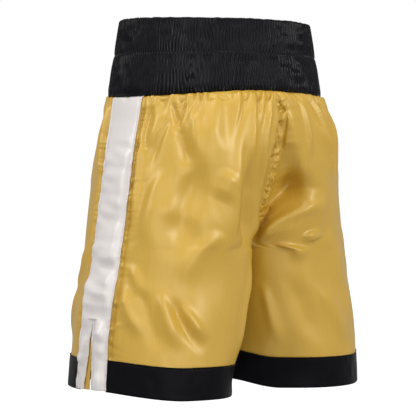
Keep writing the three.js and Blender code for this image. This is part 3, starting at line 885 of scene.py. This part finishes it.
def ridges(turn, level, seed):
    """Upright ridges, 0 to 1: a cosine round the waist whose phase wanders, faster down the lower
    tier, with some ridges deeper and some dying out part of the way down."""
    ribs = turn / (2 * math.pi) * RIDGES
    tier = np.where(level < TIER, 0, LOWER_TIER_SHIFT)
    height = BAND_HEIGHT * level
    waver = 0.50 * wander2(ribs, height, 5, 0.014, seed)
    waver = waver + 0.34 * wander2(ribs, height, 2.3, 0.008, seed + 1)
    run = np.where(level < TIER, level / TIER, (1 - level) * 1.6)
    lean = 0.9 * wander(ribs + tier, 26, seed + 2) * run
    ridge = 0.5 + 0.5 * np.cos(2 * math.pi * (ribs + waver + lean))
    deep = 0.78 + 0.22 * wander2(ribs, height, 1.3, 0.030, seed + 3)
    return ridge**0.8 * deep


def round_the_waist(columns):
    """Equal turns, once round."""
    return np.linspace(0, 2 * math.pi, columns, endpoint=False)[None]


def waistband_cover():
    """One row for each (level, distance out from the ellipse, share of the ridges) in shape."""
    turn = round_the_waist(BAND_COLUMNS)
    face = uneven(38, lambda x: 1 + 1.2 * bell(x - TIER, 0.04) + 0.8 * bell(x, 0.06), 0.03, 1.0)
    over = np.linspace(math.pi, 0, 8)[1:-1]
    inner = np.linspace(0.03, 1.0, 10)
    shape = [(level, FACE_OUT - 0.0012 * smooth(level, 0.9, 1), 1.0) for level in face]
    shape += [(1.0, CHANNEL + 0.0001, 0), (0.5, CHANNEL, 0), (0.05, CHANNEL, 0), (0.04, 0, 0)]
    shape += [(0.05, -CHANNEL, 0), (0.5, -CHANNEL, 0), (1.0, -CHANNEL - 0.0001, 0)]
    shape += [(level, -FACE_OUT, -0.7) for level in inner[::-1]]
    shape += [(0.03 - 0.03 * math.sin(a), FACE_OUT * math.cos(a), 0.6) for a in over]
    level, out, rough = (np.array(column)[:, None] for column in zip(*shape))
    level, out, rough, turn = np.broadcast_arrays(level, out, rough, turn)
    push = RIDGE_DEPTH * (ridges(turn, level, 700) - 0.45)
    away = np.abs(level - TIER) * BAND_HEIGHT
    stitched = 1 - 0.75 * bell(away, 0.0016)
    hem_pinch = smooth(1 - level, -0.02, 0.04)
    groove = 0.0003 * bell(away, 0.0017)
    out = out + rough * (push * stitched * mix(0.6, 1, hem_pinch) - groove * (np.abs(rough) > 0.65))
    crown = 0.0004 * wander(turn / (2 * math.pi) * RIDGES, 1.5, 720) + 0.0007 * wander(turn * 20, 9, 721)
    crown = crown - 0.0014 * bell(turn - 1.75, 0.9)
    points = band_ring(level, out, turn)
    points[..., 2] += crown * smooth(0.3 - level, 0, 0.3)
    length_down = np.cumsum(np.full(level.shape, COVER_ROW), axis=0)
    uv = np.stack([BAND_ROUND * turn / (2 * math.pi), length_down], axis=-1)
    thing = sheet_mesh("waistband_cover_satin", points, uv, 1, ring=True, closed=True)
    return finish_piece(thing, "shirred_satin", "black_shirring", "waistband_cover")


cover = waistband_cover()

# %% [markdown]
# ## Elastics
#
# Inside each tier of the waistband runs a woven elastic. Rubber cords lie side by side in it, so
# its faces are ribbed lengthwise, and it is drawn up in small waves where the stitches catch it.

# %% Elastics
ELASTIC_ROWS, ELASTIC_COLUMNS = 40, 420
CORDS, ELASTIC_WAVES = 13, 140


def elastic(name, top, bottom):
    """A closed ring: one face, round the lower edge, the other face, and round the upper edge."""
    turn = round_the_waist(ELASTIC_COLUMNS)
    levels = np.linspace(top, bottom, ELASTIC_ROWS)
    cords = 0.0011 + 0.00025 * np.abs(np.sin(math.pi * CORDS * (levels - top) / (bottom - top)))
    level = np.concatenate([levels, levels[::-1]])[:, None]
    out = np.concatenate([cords, -cords[::-1]])[:, None]
    level, out, turn = np.broadcast_arrays(level, out, turn)
    wave = 0.0002 * wander(turn * ELASTIC_WAVES / (2 * math.pi), 1, 730)
    points = band_ring(level, out + wave, turn)
    uv = np.stack([BAND_ROUND * turn / (2 * math.pi), BAND_HEIGHT * level], axis=-1)
    thing = sheet_mesh(name + "_web", points, uv, 1, ring=True, closed=True)
    return finish_piece(thing, "elastic_web", "elastic_web", name)


for name in ("waistband_upper_elastic", "waistband_lower_elastic"):
    low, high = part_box(name)
    elastic(name, -high.z / BAND_HEIGHT, -low.z / BAND_HEIGHT)

# %% [markdown]
# ## Thread
#
# Rows of stitches hold the stripes, the slit's edges, the hem bands and the centre seam. A stitch is
# a short piece of thread that dives into the cloth at both ends. Each has only a few faces, since
# there are hundreds, and a whole row is worked out at once.

# %% Thread
STITCH, STITCH_GAP, THREAD = 0.0024, 0.0009, 0.00022
STITCH_SIDES, STITCH_RINGS = 5, 6


def stitch_row(name, path, out, thread, slot):
    """Stitches every STITCH + STITCH_GAP along a path. Along each one the thread's radius and its
    height above the cloth follow half a sine, so both its ends go in."""
    steps = np.linalg.norm(np.diff(path, axis=0), axis=1)
    along = np.r_[0, np.cumsum(steps)]
    starts = np.arange(STITCH, along[-1] - 2 * STITCH, STITCH + STITCH_GAP)
    share = np.linspace(0, 1, STITCH_RINGS)
    at = starts[:, None] + STITCH * share
    centre = np.stack([np.interp(at, along, path[:, k]) for k in range(3)], axis=-1)
    up = unit(np.stack([np.interp(at, along, out[:, k]) for k in range(3)], axis=-1))
    forward = unit(np.gradient(centre, axis=1))
    sideways = unit(np.cross(up, forward))
    arch = np.sin(math.pi * share) ** 0.6
    centre = centre + up * (0.00025 * arch - 0.00008)[None, :, None]
    radius = THREAD * (0.25 + 0.75 * arch)
    angle = 2 * math.pi * np.arange(STITCH_SIDES)[:, None] / STITCH_SIDES
    round_it = sideways[:, :, None] * np.cos(angle) + up[:, :, None] * np.sin(angle)
    points = centre[:, :, None] + round_it * radius[None, :, None, None]
    first = np.arange(len(starts))[:, None, None] * STITCH_RINGS * STITCH_SIDES
    ring = first + np.arange(STITCH_RINGS - 1)[None, :, None] * STITCH_SIDES
    following = ring + STITCH_SIDES
    a = np.arange(STITCH_SIDES)[None, None]
    b = (a + 1) % STITCH_SIDES
    quads = np.stack([ring + a, ring + b, following + b, following + a], axis=-1)
    caps = [first[:, 0] + a[0, :, ::-1], first[:, 0] + (STITCH_RINGS - 1) * STITCH_SIDES + a[0]]
    mesh = bpy.data.meshes.new(name)
    faces = quads.reshape(-1, 4).tolist() + [face for cap in caps for face in cap.tolist()]
    mesh.from_pydata(points.reshape(-1, 3).tolist(), [], faces)
    corners = np.array([v for face in faces for v in face])
    uv = np.stack(np.broadcast_arrays(at[:, :, None], 0.001 * a), axis=-1).reshape(-1, 2)
    return finish_piece(as_piece(name, mesh, uv[corners]), thread, slot)


def stripe_stitches(side):
    """A row inside each stitched edge of a stripe, and one inside each edge of its slit."""
    whole = np.linspace(0.012, 0.995, 900)[:, None]
    tail = np.linspace(SLIT_TOP_U + 0.02, 0.995, 260)[:, None]
    for ahead in (True, False):
        edges = {"edge": (whole, outer_edge(whole, ahead) - STITCH_INSET)}
        edges["slit"] = (tail, slit_edge(tail, ahead) + STITCH_INSET)
        for place, (u, distance) in edges.items():
            points, out, _ = stripe_place(side, u, distance, ahead)
            name = f"{SIDES[side]}_stripe_thread_{NAMES[not ahead]}_{place}"
            stitch_row(name, points[:, 0], out[:, 0], "white_thread", "white_satin")


def hem_stitches(side, back):
    """One row just under the top edge of a hem band, and one above its fold."""
    s = np.linspace(0.11, 0.985, 900)
    for place, up_from_hem in (("top", HEM_BAND - HEM_STITCH), ("fold", 0.005)):
        u = np.full_like(s, 1 - up_from_hem / HEM_SIDE)
        points, out, *_ = dressed(u[:, None], s[:, None], side, back)
        points = points + out * (BAND_LIFT - 0.0002)
        name = f"hem_thread_{place}_{NAMES[back]}_{SIDES[side]}"
        stitch_row(name, points[:, 0], out[:, 0], "black_thread", "black_satin")


def seam_stitches(side, back):
    """The row that holds the ruched strip, SEAM_STRIP from the centre seam."""
    u = np.linspace(0.02, CROTCH_U - 0.045, 700)
    *_, whole = row_shape(HEM_SIDE * u, back)
    s = 1 - SEAM_STRIP / whole
    points, out, down, _, to_inner = dressed(u[:, None], s[:, None], side, back)
    ruche = seam_ruche(down, to_inner, above_crotch(u)[:, None], SEAM_SEEDS[back])
    points = points + out * ruche[..., None]
    name = f"seam_thread_{NAMES[back]}_{SIDES[side]}"
    stitch_row(name, points[:, 0], out[:, 0], "gold_thread", "gold_satin")


for side in (1, -1):
    stripe_stitches(side)
for side, back in QUARTERS:
    hem_stitches(side, back)
    seam_stitches(side, back)

# %% [markdown]
# ## Floor and light
#
# The shorts are shown as worn, so the floor is where the wearer would stand, nearly a metre below
# the waist. The room is white. It looks brighter to the camera than it is to the cloth, so the
# background stays white while the folds keep their shadows. Four soft lights shape the satin: one
# each side for its shine, a large one by the camera to fill the hollows, and one high above.

# %% Floor and light
FLOOR_LEVEL, FLOOR_REACH = -0.98, 30.0
ROOM_LIGHT = 0.52
LIGHTS = {
    # name: turn from the camera and lift in degrees, distance and size in metres, watts
    "left": (-50, 34, 2.2, 0.9, 15),
    "front": (8, 6, 2.8, 1.4, 13),
    "right": (50, 22, 2.2, 0.8, 17),
    "top": (-5, 72, 2.2, 1.0, 13),
}
floor_mesh = bpy.data.meshes.new("floor")
corners = [(-1, -1), (1, -1), (1, 1), (-1, 1)]
corners = [(x * FLOOR_REACH, y * FLOOR_REACH, FLOOR_LEVEL) for x, y in corners]
floor_mesh.from_pydata(corners, [], [(0, 1, 2, 3)])
floor = put("floor", floor_mesh)
pale = bpy.data.materials.new("pale_floor")
pale.use_nodes = True
pale_shader = pale.node_tree.nodes["Principled BSDF"]
pale_shader.inputs["Base Color"].default_value = (0.5, 0.5, 0.5, 1)
pale_shader.inputs["Roughness"].default_value = 0.9
pale_shader.inputs["Emission Color"].default_value = (1, 1, 1, 1)
pale_shader.inputs["Emission Strength"].default_value = 0.85
floor.data.materials.append(pale)
floor.visible_diffuse = floor.visible_glossy = False
floor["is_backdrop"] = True

world = bpy.data.worlds.new("white_room")
bpy.context.scene.world = world
world.use_nodes = True
tree = world.node_tree
backdrop = tree.nodes["Background"]
room = tree.nodes.new("ShaderNodeBackground")
room.inputs["Strength"].default_value = ROOM_LIGHT
seen = tree.nodes.new("ShaderNodeLightPath")
either = tree.nodes.new("ShaderNodeMixShader")
backdrop.inputs["Color"].default_value = room.inputs["Color"].default_value = (1, 1, 1, 1)
tree.links.new(seen.outputs["Is Camera Ray"], either.inputs["Fac"])
tree.links.new(room.outputs["Background"], either.inputs[1])
tree.links.new(backdrop.outputs["Background"], either.inputs[2])
tree.links.new(either.outputs["Shader"], tree.nodes["World Output"].inputs["Surface"])


def soft_light(name, turn, lift, distance, size, power):
    """A square light that looks at the shorts, turned round them from the camera and lifted."""
    data = bpy.data.lights.new(name, "AREA")
    data.size = size
    data.energy = power
    angle = CAMERA_TURN + math.radians(turn)
    lift = math.radians(lift)
    level = math.cos(lift)
    where = np.array([math.sin(angle) * level, -math.cos(angle) * level, math.sin(lift)])
    lamp = put(name, data)
    lamp.location = aim + distance * where
    lamp.rotation_euler = (math.pi / 2 - lift, 0, angle)


for name, numbers in LIGHTS.items():
    soft_light(name, *numbers)
bpy.context.scene.view_settings.view_transform = "Standard"

# %% [markdown]
# ## Panel names
#
# Every piece is a sheet. The loop below only forms each panel's name, and states no flat cut.

# %% Panel names
for side, back in QUARTERS:
    name = f"{NAMES[back]}_{SIDES[side]}"

# %% Sizes, and the end
low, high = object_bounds()
for k, axis in enumerate("xyz"):
    print(axis, "frame", round(cad_low[k], 4), round(cad_high[k], 4))
    print(axis, "made", round(low[k], 4), round(high[k], 4))
